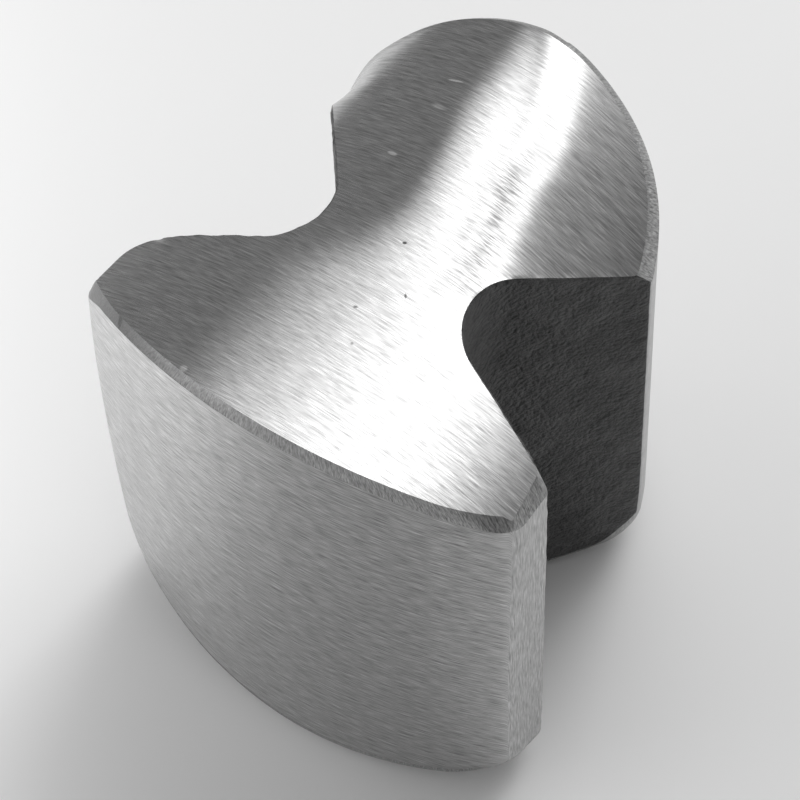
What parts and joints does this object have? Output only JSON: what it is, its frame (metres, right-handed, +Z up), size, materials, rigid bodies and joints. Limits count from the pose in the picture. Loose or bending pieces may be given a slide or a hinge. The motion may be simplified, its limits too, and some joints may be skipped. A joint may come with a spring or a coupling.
{
  "type": "hand dolly",
  "caption": "One-piece forged steel hand dolly: waisted block with crowned ends, a wide bowed foot and a round head, held behind sheet metal while it is hammered.",
  "frame": {"origin": "under the middle of the block's box, where its lower crowned end touches the bench", "axes": "+Z up through both crowned ends, X across the foot, +Y from the foot face to the back of the round head"},
  "size_m": [0.058, 0.0616, 0.0756],
  "materials": {
    "steel": "satin"
  },
  "bodies": {
    "root": {"dolly_block": "steel"}
  },
  "joints": []
}
